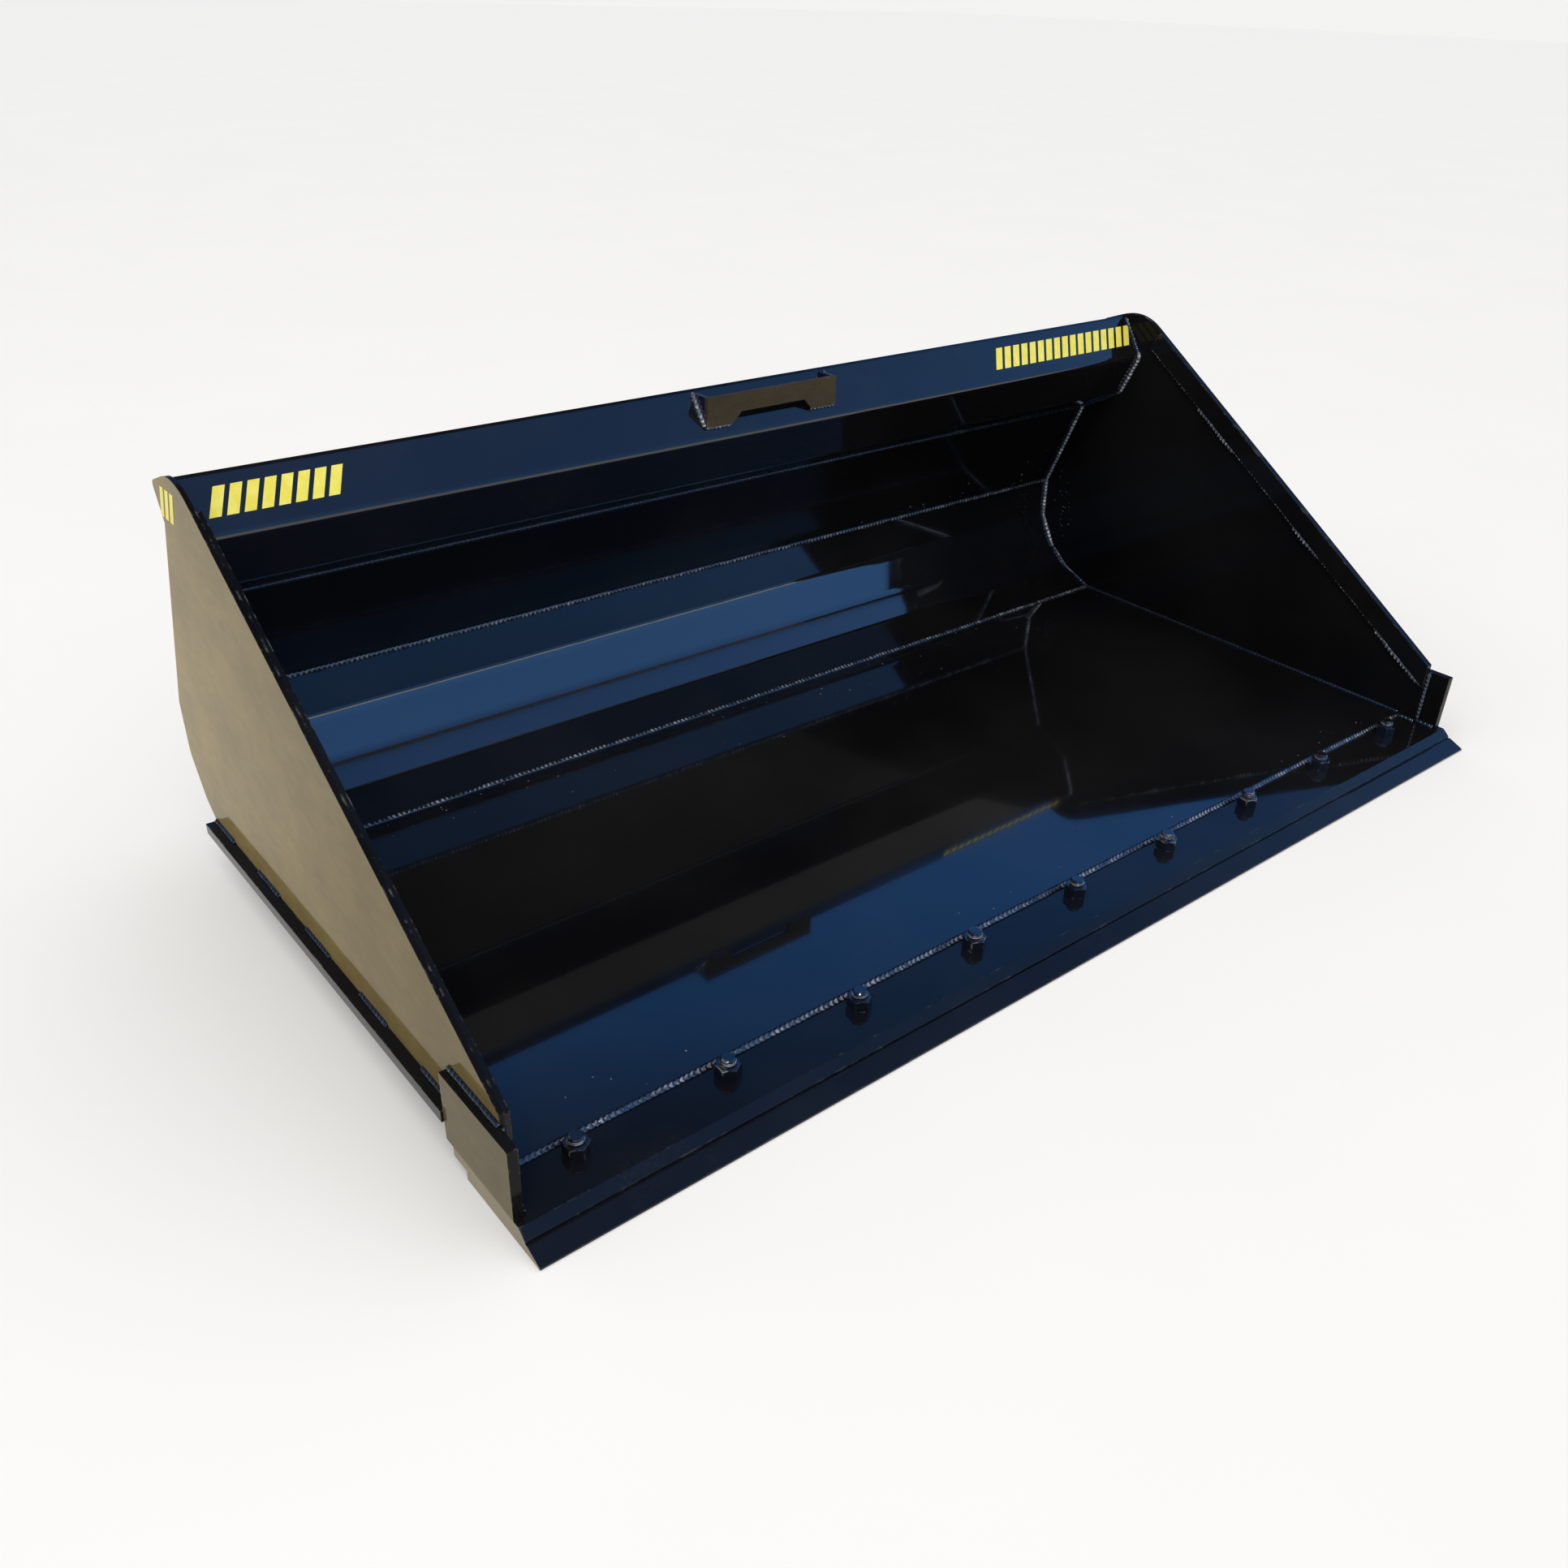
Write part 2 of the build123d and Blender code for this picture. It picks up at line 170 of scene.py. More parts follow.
class Nodes:
    """Short calls for the node types that the materials share."""

    def __init__(self, tree):
        self.tree = tree
        self.place = tree.nodes.new("ShaderNodeTexCoord").outputs["Object"]

    def link(self, source, socket):
        self.tree.links.new(source, socket)

    def math(self, operation, a, b=None, clamp=False):
        node = self.tree.nodes.new("ShaderNodeMath")
        node.operation = operation
        node.use_clamp = clamp
        for socket, value in zip(node.inputs, (a, b)):
            if value is None:
                continue
            if isinstance(value, (int, float)):
                socket.default_value = value
            else:
                self.link(value, socket)
        return node.outputs["Value"]

    def scaled(self, scale):
        mapping = self.tree.nodes.new("ShaderNodeMapping")
        mapping.inputs["Scale"].default_value = scale
        self.link(self.place, mapping.inputs["Vector"])
        return mapping.outputs["Vector"]

    def noise(self, scale, detail=4.0, roughness=0.55, stretch_by=None):
        node = self.tree.nodes.new("ShaderNodeTexNoise")
        node.inputs["Scale"].default_value = scale
        node.inputs["Detail"].default_value = detail
        node.inputs["Roughness"].default_value = roughness
        self.link(self.scaled(stretch_by) if stretch_by else self.place, node.inputs["Vector"])
        return node.outputs["Fac"]

    def ramp(self, value, low, high, out_low=0.0, out_high=1.0):
        node = self.tree.nodes.new("ShaderNodeMapRange")
        node.inputs["From Min"].default_value = low
        node.inputs["From Max"].default_value = high
        node.inputs["To Min"].default_value = out_low
        node.inputs["To Max"].default_value = out_high
        node.interpolation_type = "SMOOTHSTEP"
        self.link(value, node.inputs["Value"])
        return node.outputs["Result"]

    def mix(self, factor, a, b):
        node = self.tree.nodes.new("ShaderNodeMix")
        node.data_type = "RGBA"
        self.link(factor, node.inputs["Factor"])
        for socket, value in ((node.inputs[6], a), (node.inputs[7], b)):
            if isinstance(value, tuple):
                socket.default_value = (*value, 1.0)
            else:
                self.link(value, socket)
        return node.outputs[2]

    def axes(self, vector):
        node = self.tree.nodes.new("ShaderNodeSeparateXYZ")
        self.link(vector, node.inputs["Vector"])
        return node.outputs

    def bump(self, height, strength, distance, normal=None):
        node = self.tree.nodes.new("ShaderNodeBump")
        node.inputs["Strength"].default_value = strength
        node.inputs["Distance"].default_value = distance
        self.link(height, node.inputs["Height"])
        if normal is not None:
            self.link(normal, node.inputs["Normal"])
        return node.outputs["Normal"]

    def rounded(self, radius):
        node = self.tree.nodes.new("ShaderNodeBevel")
        node.samples = 4
        node.inputs["Radius"].default_value = radius
        return node.outputs["Normal"]


# Mesh attribute that holds the height of a bead's ripples, 0 in the hollows and 1 on the crests.
# bead_paint puts a painted highlight on the crests.
CREST = "crest"

# Linear colours.
PAINT_BLACK = (0.0034, 0.0033, 0.0038)
PAINT_FADED = (0.0072, 0.0070, 0.0072)
DUST = (0.21, 0.165, 0.10)
DUST_AND_REFLECTION_FILM = (0.42, 0.305, 0.115)
# Tint of the outer faces' sheen: fine dust in part, and in part a painted reflection of tan ground.
SHEEN_DUST_AND_REFLECTION = (0.93, 0.69, 0.25)
SMOOTH, ROUGH = 0.035, 0.085
EDGE_ROUNDING = 0.0011
WEAR_REACH = 0.003
WORN_STEEL = (0.42, 0.41, 0.40)
YELLOW = (0.80, 0.70, 0.075)
PALE_YELLOW = (0.86, 0.79, 0.17)


def paint(
    name, ior=1.95, coat=1.0, dust=0.035, waviness=1.0, worn=0.0, film=0.0, film_x=0.0, haze=0.0, sheen=0.0
):
    """Glossy black paint over rolled plate, with settled dust.

    worn bares the steel on edges. haze dulls the gloss. film is how much a dry, mottled tan film covers the
    paint beyond film_x from the bucket's middle: dust, and on the guard in part a painted reflection of tan
    ground. sheen weighs a tan sheen there at a flat angle: fine dust in part, in part a painted reflection
    of tan ground."""
    material, tree, shader = node_tree(name)
    n = Nodes(tree)
    broad = n.noise(2.3, 3.0)
    cloud = n.noise(11.0, 5.0, 0.6)
    grain = n.noise(260.0, 3.0, 0.6)
    colour = n.mix(n.ramp(broad, 0.35, 0.7), PAINT_BLACK, PAINT_FADED)
    settled = n.math("MULTIPLY", n.ramp(cloud, 0.45, 0.8), n.ramp(grain, 0.35, 0.75))
    colour = n.mix(n.math("MULTIPLY", settled, dust), colour, DUST)
    gloss = n.ramp(cloud, 0.3, 0.8, SMOOTH + haze, ROUGH + haze)
    roughness = n.math("ADD", gloss, n.ramp(grain, 0.45, 0.9, 0.0, 0.04))
    normal = n.rounded(EDGE_ROUNDING)
    if film:
        streaks = n.noise(7.0, 6.0, 0.66, (0.8, 1.0, 1.5))
        wisps = n.noise(55.0, 5.0, 0.68, (0.6, 0.6, 1.4))
        mottle = n.ramp(wisps, 0.3, 0.75, -0.14, 0.12)
        cover = n.math("ADD", n.ramp(streaks, 0.3, 0.7, 0.80, 1.0), mottle)
        outside = n.math("GREATER_THAN", n.math("ABSOLUTE", n.axes(n.place)["X"]), film_x)
        cover = n.math("MULTIPLY", n.math("MULTIPLY", cover, outside), film, clamp=True)
        # Tan sheen at a flat angle on the outer faces: fine dust in part, and in part a painted reflection
        # of tan ground.
        if sheen:
            thinner = n.ramp(wisps, 0.3, 0.75, 0.86, 1.0)
            dust_and_reflection_sheen = n.math("MULTIPLY", n.ramp(streaks, 0.3, 0.7, 0.78, 1.0), thinner)
            dust_and_reflection_sheen = n.math("MULTIPLY", n.math("MULTIPLY", dust_and_reflection_sheen, outside), sheen)
            n.link(dust_and_reflection_sheen, shader.inputs["Sheen Weight"])
            shader.inputs["Sheen Tint"].default_value = (*SHEEN_DUST_AND_REFLECTION, 1.0)
            shader.inputs["Sheen Roughness"].default_value = 0.32
        colour = n.mix(cover, colour, DUST_AND_REFLECTION_FILM)
        dulling = n.math("MULTIPLY", cover, n.ramp(streaks, 0.3, 0.75, 0.12, 0.3))
        roughness = n.math("ADD", roughness, dulling)
    if worn:
        turned = tree.nodes.new("ShaderNodeVectorMath")
        turned.operation = "DOT_PRODUCT"
        n.link(n.rounded(WEAR_REACH), turned.inputs[0])
        n.link(tree.nodes.new("ShaderNodeNewGeometry").outputs["Normal"], turned.inputs[1])
        rim = n.ramp(turned.outputs["Value"], 0.985, 0.90)
        chips = n.math("MULTIPLY", n.ramp(n.noise(38.0, 5.0, 0.7), 0.52, 0.66), rim)
        chips = n.math("MULTIPLY", chips, worn, clamp=True)
        colour = n.mix(chips, colour, WORN_STEEL)
        roughness = n.math("ADD", roughness, n.math("MULTIPLY", chips, 0.3))
    n.link(colour, shader.inputs["Base Color"])
    n.link(roughness, shader.inputs["Roughness"])
    normal = n.bump(n.noise(3.1, 2.0, 0.4), 0.05 * waviness, 0.02, normal)
    normal = n.bump(n.noise(420.0, 2.0, 0.5), 0.03, 0.0006, normal)
    n.link(normal, shader.inputs["Normal"])
    shader.inputs["IOR"].default_value = ior
    shader.inputs["Coat Weight"].default_value = coat
    shader.inputs["Coat Roughness"].default_value = 0.02
    shader.inputs["Coat IOR"].default_value = 1.42
    return material


def bead_paint(name, dark, pale):
    """Paint over a weld bead, with a painted highlight: paler on the crests of its ripples and in patchy
    runs along it.
    """
    material, tree, shader = node_tree(name)
    n = Nodes(tree)
    crest = tree.nodes.new("ShaderNodeAttribute")
    crest.attribute_name = CREST
    long_runs = n.ramp(n.noise(26.0, 4.0, 0.7), 0.38, 0.62, 0.12, 1.0)
    specks = n.ramp(n.noise(115.0, 2.0), 0.40, 0.58, 0.15, 1.0)
    runs = n.math("MULTIPLY", long_runs, specks)
    glint_patches = n.math("MULTIPLY", n.ramp(crest.outputs["Fac"], 0.35, 0.9), runs)
    n.link(n.mix(glint_patches, dark, pale), shader.inputs["Base Color"])
    n.link(n.ramp(n.noise(500.0, 2.0), 0.3, 0.8, 0.16, 0.36), shader.inputs["Roughness"])
    n.link(n.bump(n.noise(900.0, 3.0, 0.6), 0.4, 0.0006), shader.inputs["Normal"])
    shader.inputs["IOR"].default_value = 1.8
    shader.inputs["Coat Weight"].default_value = 0.6
    shader.inputs["Coat Roughness"].default_value = 0.12
    return material


def sticker_vinyl():
    """Yellow vinyl with faint print mottle and a soft sheen."""
    material, tree, shader = node_tree("sticker_vinyl")
    n = Nodes(tree)
    tone = n.noise(60.0, 4.0)
    n.link(n.mix(n.ramp(tone, 0.35, 0.75), YELLOW, PALE_YELLOW), shader.inputs["Base Color"])
    n.link(n.ramp(n.noise(160.0), 0.3, 0.8, 0.28, 0.42), shader.inputs["Roughness"])
    n.link(n.bump(n.noise(700.0, 2.0), 0.1, 0.0002), shader.inputs["Normal"])
    shader.inputs["IOR"].default_value = 1.4
    return material


# The film and the sheen lie only on outer faces, which start just short of these places. The sheen there is
# in part a painted reflection of tan ground.
FACE_TOLERANCE = 0.0002
FILM_START = outer_x - FACE_TOLERANCE
CUTTER_FILM_START = cutter_high.x - FACE_TOLERANCE
OUTSIDE_PAINT = {"coat": 0.0, "ior": 1.17, "film": 0.05}

body_paint = paint("body_paint")
floor_paint = paint("floor_paint", ior=1.55, waviness=0.35, dust=0.02)
back_paint = paint("back_paint", ior=1.30, coat=0.15, dust=0.012, haze=0.05)
band_paint = paint("band_paint", ior=1.45, dust=0.04)
side_paint = paint("side_paint", dust=0.01, worn=0.3, film_x=FILM_START, sheen=1.0, **OUTSIDE_PAINT)
edge_paint = paint(
    "edge_paint", ior=1.35, coat=0.3, dust=0.03, worn=0.15, film=0.05, film_x=CUTTER_FILM_START, sheen=0.8
)
cutter_paint = paint(
    "cutter_paint", dust=0.03, worn=0.25, film_x=CUTTER_FILM_START, sheen=0.6, **OUTSIDE_PAINT
)
trim_paint = paint("trim_paint", ior=1.22, coat=0.15, dust=0.03, worn=0.3)
# The guard's tan film covers it all over: dust in part, and in part a painted reflection of tan ground.
guard_paint = paint("guard_paint", ior=1.25, coat=0.0, dust=0.06, worn=0.3, film=0.10, haze=0.2)
# The fasteners' high wear bares steel on their edges: wear in part, and in part a painted highlight on the
# nuts.
fastener_paint = paint("fastener_paint", ior=1.7, dust=0.05, worn=0.8)
# The three weld paints are one paint with painted highlights of three strengths on their crests: nearly
# none, grey and near white.
dark_weld = bead_paint("dark_weld", (0.005, 0.005, 0.006), (0.020, 0.020, 0.022))
weld_paint_glints = bead_paint("weld_paint_glints", (0.005, 0.005, 0.006), (0.34, 0.345, 0.37))
bright_weld_glints = bead_paint("bright_weld_glints", (0.06, 0.06, 0.066), (0.92, 0.93, 0.95))
vinyl = sticker_vinyl()

PAINTS = {
    "floor_sheet": floor_paint,
    "back_sheet": back_paint,
    "top_channel": band_paint,
    "guard_plate": guard_paint,
    "plow_bolts": fastener_paint,
    "hex_nuts": fastener_paint,
    "bolt_on_edge": edge_paint,
    "base_edge": edge_paint,
    "side_plate": side_paint,
    "side_cutter": cutter_paint,
    "edge_bar": trim_paint,
    "rub_bar": trim_paint,
}
for name, node in nodes.items():
    chosen = [finish for start, finish in PAINTS.items() if name.startswith(start)]
    for material_slot in node.material_slots:
        material_slot.material = chosen[0] if chosen else body_paint


# ---------------------------------------------------------------- weld beads

RIPPLE = 0.0078
RINGS_PER_RIPPLE = 5
SECTION_POINTS = 7
ROOT_DEPTH = 0.0004


def piece(name, parts, material):
    """One object from several (vertices, faces, crest heights) parts, riding on the bucket."""
    vertices, faces, crests = [], [], []
    for part_vertices, part_faces, part_crests in parts:
        start = len(vertices)
        vertices += [tuple(vertex) for vertex in part_vertices]
        faces += [tuple(start + index for index in face) for face in part_faces]
        crests += part_crests or [1.0] * len(part_vertices)
    mesh = bpy.data.meshes.new(name)
    mesh.from_pydata(vertices, [], faces)
    mesh.update()
    mesh.shade_smooth()
    mesh.attributes.new(CREST, "FLOAT", "POINT").data.foreach_set("value", crests)
    mesh.materials.append(material)
    made = bpy.data.objects.new(name, mesh)
    bpy.context.scene.collection.objects.link(made)
    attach(made, "root")
    return made


def resample(path, step):
    """Points along a path at even steps, with the way along it at each."""
    points, ways = [], []
    for a, b in zip(path, path[1:]):
        length = (b - a).length
        if length < 1e-6:
            continue
        count = max(1, round(length / step))
        for index in range(count):
            points.append(a.lerp(b, index / count))
            ways.append((b - a).normalized())
    points.append(path[-1])
    ways.append(ways[-1])
    return points, ways


def bead(path, leg_a, leg_b, size=0.006, crown=0.0014, seed=0, out=None):
    """Weld bead along a path, as (vertices, faces, crest heights).

    leg_a and leg_b point from its root along the two plates. Each is a vector, or a function of the way
    along the path. out is the way the bead bulges, which is between the legs unless it is given. The
    ripples are bowed across the bead, as a weld pool's are."""
    points, ways = resample([Vector(point) for point in path], RIPPLE / RINGS_PER_RIPPLE)
    total = sum((b - a).length for a, b in zip(points, points[1:]))
    vertices, faces, crests = [], [], []
    distance = 0.0
    ring = SECTION_POINTS + 1
    for index, (point, way) in enumerate(zip(points, ways)):
        if index:
            distance += (point - points[index - 1]).length
        a = leg_a(way) if callable(leg_a) else leg_a
        b = leg_b(way) if callable(leg_b) else leg_b
        bulge = (out(way) if callable(out) else out) if out else (a + b).normalized()
        ends = min(1.0, (min(distance, total - distance) + 0.0008) / 0.005)
        uneven = 1 + 0.16 * noise.noise(Vector((distance * 45, seed * 7.3, 0.0)))
        leg = size * uneven * (0.55 + 0.45 * math.sqrt(ends))
        lump = 1 + 0.5 * noise.noise(Vector((distance * 24, seed * 3.1, 9.0)))
        for step in range(SECTION_POINTS):
            share = step / (SECTION_POINTS - 1)
            arch = math.sin(math.pi * share)
            jitter = 0.3 * noise.noise(Vector((distance * 30, seed, 4.0)))
            phase = (distance / RIPPLE + 0.5 * arch + jitter) % 1.0
            ripple = math.sin(math.pi * phase ** 0.7)
            spread = leg * (1 + 0.16 * (ripple - 0.6))
            swell = crown * arch * (0.5 + 1.25 * ripple) * math.sqrt(ends) * lump
            crests.append(ripple * (0.35 + 0.65 * arch))
            vertices.append(point + (a * (1 - share) + b * share) * spread + bulge * swell)
        vertices.append(point - bulge * ROOT_DEPTH)
        crests.append(0.0)
        if index:
            here, before = index * ring, (index - 1) * ring
            for step in range(ring):
                after = (step + 1) % ring
                faces.append((before + step, before + after, here + after, here + step))
    faces.append(tuple(range(ring))[::-1])
    faces.append(tuple((len(points) - 1) * ring + step for step in range(ring)))
    return vertices, faces, crests


def across(point, low, high):
    """Straight path across the bucket through an outline point."""
    return at_x([point], low) + at_x([point], high)


def toward(a, b):
    """Direction from one outline point to another."""
    return (b - a).normalized()


def left_of(way):
    """Direction square to a way in the side plates' plane, on its left seen from the bucket's left side."""
    return Vector((0, -way.z, way.y))


def right_of(way):
    """The other direction square to a way in the side plates' plane."""
    return -left_of(way)


# The numbers at the end of each bead are its leg and its crown, in metres, and its seed.
SPAN = inner_x - 0.001
LONG_LEG = 0.0055

# Seams that run across the inside, and the channel's foot on the back sheet.
floor_lip = Vector((0, floor_low.y, floor_low.z))
heel_top = toward(seam, heel_inside[-2])
heel_rise = toward(heel_foot, heel_inside[1])
channel_rise = toward(channel_foot, channel_outside[1])
for name, place, leg_a, leg_b, size, crown, seed, finish in (
    ("weld_heel_to_back", seam, back_up, heel_top, 0.005, 0.0018, 1, weld_paint_glints),
    ("weld_floor_to_heel", heel_foot, heel_rise, -Y, 0.005, 0.0018, 2, weld_paint_glints),
    ("weld_floor_to_edge", floor_lip, Z, -Y, 0.0058, 0.0009, 3, weld_paint_glints),
    ("weld_channel_to_back", channel_foot, -back_up, channel_rise, 0.004, 0.0008, 4, dark_weld),
):
    piece(name, [bead(across(place, -SPAN, SPAN), leg_a, leg_b, size, crown, seed)], finish)

# Shell and channel on the side plates' inner faces. On the right-hand plate, which faces the light, the
# heel's curve and the channel's nose carry the brightest painted highlight. The curve starts at the end of
# the heel's first bends, HIDDEN_POINTS along it.
HIDDEN_POINTS = 5
bright_seam = [*heel_inside[HIDDEN_POINTS:], channel_foot]
dark_seam = [floor_front, *heel_inside[: HIDDEN_POINTS + 1]]
nose_line = channel_outside[1:-1]
for word, side in SIDES:
    x = side * inner_x
    inward = -X * side
    hidden = [
        bead(at_x(dark_seam, x), inward, left_of, 0.0045, 0.0007, 20 + side),
        bead(at_x(channel_outside[:2], x), inward, left_of, 0.0045, 0.0007, 26 + side),
        bead(at_x(channel_outside[-2:], x), inward, left_of, 0.0045, 0.0009, 28 + side),
    ]
    shown = [
        bead(at_x(bright_seam, x), inward, left_of, LONG_LEG, 0.0018, 22 + side),
        bead(at_x(nose_line, x), inward, left_of, LONG_LEG, 0.0018, 24 + side),
    ]
    piece(f"weld_shell_{word}", hidden, dark_weld)
    # The right-hand curve gets the brightest painted highlight, as it faces the light.
    piece(f"weld_curve_{word}", shown, bright_weld_glints if side == RIGHT else weld_paint_glints)

# Stitches along the inner edge of each sloping bar, as shares of its length from its foot.
BAR_STITCHES = ((0.01, 0.16), (0.36, 0.455), (0.67, 0.81))
bar_foot = min(bar_loop, key=lambda point: point.z)
bar_head = max(bar_loop, key=lambda point: point.y)
bar_way = toward(bar_foot, bar_head)
for word, side in SIDES:
    stitches = []
    for index, (low, high) in enumerate(BAR_STITCHES):
        ends = [bar_foot.lerp(bar_head, low), bar_foot.lerp(bar_head, high)]
        line = at_x(ends, side * inner_x)
        stitches.append(bead(line, -X * side, right_of(bar_way), 0.0068, 0.0019, 30 + index + side * 5))
    # The right-hand stitches get the brightest painted highlight, as they face the light.
    finish = bright_weld_glints if side == RIGHT else weld_paint_glints
    piece(f"weld_edge_bar_{word}", stitches, finish)
    line = at_x([bar_foot, bar_head], side * inner_x)
    sealed = bead(line, -X * side, right_of(bar_way), 0.0042, 0.0009, 38 + side)
    piece(f"seal_edge_bar_{word}", [sealed], finish)

# Side cutter: on the plate above and behind it, at the plate's front edge and on the base edge. Rub bar:
# stitches above and below.
RUB_STITCH, RUB_STITCHES = 0.075, 5
for word, side in SIDES:
    x = side * outer_x
    outward = X * side
    front, rear = cutter_low.y, cutter_high.y
    plate_front, top, foot = plate_low.y, cutter_high.z, base_high.z
    inside = side * inner_x
    lip_line = [(inside, plate_front, foot), (inside, floor_low.y, foot)]
    cutter_welds = [
        bead([(x, plate_front, top), (x, rear, top)], outward, Z, 0.005, 0.001, 40 + side),
        bead([(x, rear, top), (x, rear, rub_high.z)], outward, Y, 0.005, 0.001, 42 + side),
        bead([(x, plate_front, foot), (x, plate_front, top)], -outward, -Y, 0.0052, 0.001, 44 + side),
        bead([(x, front + 0.003, foot), (x, plate_front, foot)], -outward, Z, 0.006, 0.0012, 46 + side),
        bead(lip_line, -outward, Z, 0.006, 0.001, 48 + side),
    ]
    piece(f"weld_cutter_{word}", cutter_welds, dark_weld)
    rub_welds = []
    pitch = (rub_high.y - rub_low.y - RUB_STITCH) / (RUB_STITCHES - 1)
    for index in range(RUB_STITCHES):
        start = rub_low.y + index * pitch
        for z, leg in ((rub_high.z, Z), (rub_low.z, -Z)):
            line = [(x, start, z), (x, start + RUB_STITCH, z)]
            rub_welds.append(bead(line, outward, leg, 0.0045, 0.0009, 50 + index + side * 7))
    piece(f"weld_rub_bar_{word}", rub_welds, dark_weld)

# Guard plate and its gussets on the band.
gusset_foot = min(gusset_loop, key=lambda point: point.z)
gusset_tip = max(gusset_loop, key=lambda point: point.y)
NOTCH_SIDE = 0.078
for word, side in SIDES:
    x = side * guard_high.x
    slope = bead(at_x([gusset_foot, gusset_tip], x), X * side, band_out, 0.0055, 0.0016, 60 + side)
    line = [(side * NOTCH_SIDE, guard_high.y, guard_low.z), (x, guard_high.y, guard_low.z)]
    foot = bead(line, -Y, -band_up, 0.0045, 0.001, 62 + side)
    # The left-hand guard welds get the brightest painted highlight, as they face the light.
    finish = bright_weld_glints if side == LEFT else weld_paint_glints
    piece(f"weld_guard_{word}", [slope, foot], finish)

# Back of the bucket: hook flange, mounting plate, latch flange, heel seam and the shell's edges.
hook_rise = toward(hook_root, hook_loop[nearest(hook_loop, hook_root + Vector((0, 0.016, 0.037)))])
mount_half = mount_high.x
LATCH_SPAN = 0.47
LIP_DROP = 0.009
lip = Vector((0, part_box("latch_flange")[1].y, latch_root.z - LIP_DROP))
back_welds = [bead(across(hook_root, -SPAN, SPAN), -back_up, hook_rise, 0.006, 0.0012, 70)]
back_welds.append(bead(across(mount_top, -mount_half, mount_half), back_out, back_up, 0.007, 0.0014, 71))
line = across(latch_root, -LATCH_SPAN, LATCH_SPAN)
back_welds.append(bead(line, back_up, toward(latch_root, lip), 0.007, 0.0014, 72))
heel_rear = heel_loop[nearest(heel_loop, seam_outside - Z * 0.06)]
for word, side in SIDES:
    line = at_x([seam_outside, mount_top], side * mount_half)
    back_welds.append(bead(line, X * side, back_out, 0.007, 0.0014, 73 + side))
    line = across(seam_outside, side * mount_half, side * SPAN)
    heel_way = toward(seam_outside, heel_rear)
    back_welds.append(bead(line, back_up, heel_way, 0.005, 0.0026, 76 + side, Y))
piece("weld_back", back_welds, weld_paint_glints)

rear_outline = stretch(plate_loop, heel_outside_foot, hook_root, seam_outside)
for word, side in SIDES:
    line = at_x(rear_outline, side * inner_x)
    corner = bead(line, -X * side, X * side, 0.0048, 0.0022, 80 + side, right_of)
    piece(f"weld_corner_{word}", [corner], weld_paint_glints)

# Ribs and mounting gussets, on the heel and on the back of the mounting plate.
for name in sorted(nodes):
    if not name.startswith(("mount_rib", "mount_gusset")):
        continue
    low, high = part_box(name)
    loop = outline(name, high.x)
    rib_front = min(loop, key=lambda point: point.y)
    rib_foot = loop[nearest(loop, latch_root - Vector((0, 0.0069, 0.0087)))]
    rib_top = max(loop, key=lambda point: point.z)
    heel_line = stretch(loop, rib_front, rib_top, heel_rear)
    rib_welds = []
    for x, leg in ((low.x, -X), (high.x, X)):
        rib_welds.append(bead(at_x(heel_line, x), leg, right_of, 0.0055, 0.001, 90))
        rib_welds.append(bead(at_x([rib_foot, rib_top], x), leg, left_of, 0.0055, 0.001, 91))
    piece(f"weld_{name}", rib_welds, weld_paint_glints)

# Underside: the base edge's rear on the floor, and both long sides of each wear bar.
END_GAP = 0.004
under_welds = [bead(across(Vector((0, base_high.y, floor_low.z)), -SPAN, SPAN), Y, -Z, 0.006, 0.0012, 100)]
for name in sorted(nodes):
    if name.startswith("wear_bar"):
        low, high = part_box(name)
        for x, leg in ((low.x, -X), (high.x, X)):
            line = [(x, low.y + END_GAP, high.z), (x, high.y - END_GAP, high.z)]
            under_welds.append(bead(line, leg, -Z, 0.006, 0.0012, 101))
piece("weld_underside", under_welds, weld_paint_glints)


# ---------------------------------------------------------------- spatter and threads

def blob(centre, normal, radius, seed):
    """Low rounded drop of spatter stuck on a surface, as (vertices, faces, no crests)."""
    side = normal.cross(X if abs(normal.x) < 0.8 else Y).normalized()
    other = normal.cross(side)
    vertices, faces = [], []
    segments, rings = 8, 3
    for ring in range(rings):
        angle = math.pi / 2 * ring / rings
        for segment in range(segments):
            turn = 2 * math.pi * segment / segments
            reach = radius * math.cos(angle) * (1 + 0.2 * noise.noise(Vector((seed, turn * 1.7, ring))))
            rise = radius * 0.65 * math.sin(angle) - radius * 0.1
            around = side * (reach * math.cos(turn)) + other * (reach * math.sin(turn))
            vertices.append(centre + around + normal * rise)
    vertices.append(centre + normal * radius * 0.55)
    for ring in range(rings - 1):
        for segment in range(segments):
            after = (segment + 1) % segments
            low, high = ring * segments, (ring + 1) * segments
            faces.append((low + segment, low + after, high + after, high + segment))
    top = (rings - 1) * segments
    for segment in range(segments):
        faces.append((top + segment, top + (segment + 1) % segments, rings * segments))
    faces.append(tuple(range(segments))[::-1])
    return vertices, faces, None


random.seed(7)
drops = []
for index in range(46):
    x = random.uniform(-0.7, 0.86)
    away = abs(random.gauss(0.0, 0.05)) + 0.008
    spot = Vector((x, heel_foot.y - away, floor_high.z))
    drops.append(blob(spot, Z, random.uniform(0.0007, 0.0019), index))
for index in range(18):
    x = random.uniform(0.35, 0.88)
    away = abs(random.gauss(0.0, 0.03)) + 0.008
    spot = at_x([seam + back_up * away], x)[0]
    drops.append(blob(spot, -back_out, random.uniform(0.0007, 0.0017), 50 + index))
for index in range(26):
    spot = bright_seam[0].lerp(seam, random.random())
    spot += Vector((0, -random.uniform(0.01, 0.05), random.uniform(0.01, 0.05)))
    drops.append(blob(at_x([spot], inner_x)[0], -X, random.uniform(0.0006, 0.0014), 80 + index))
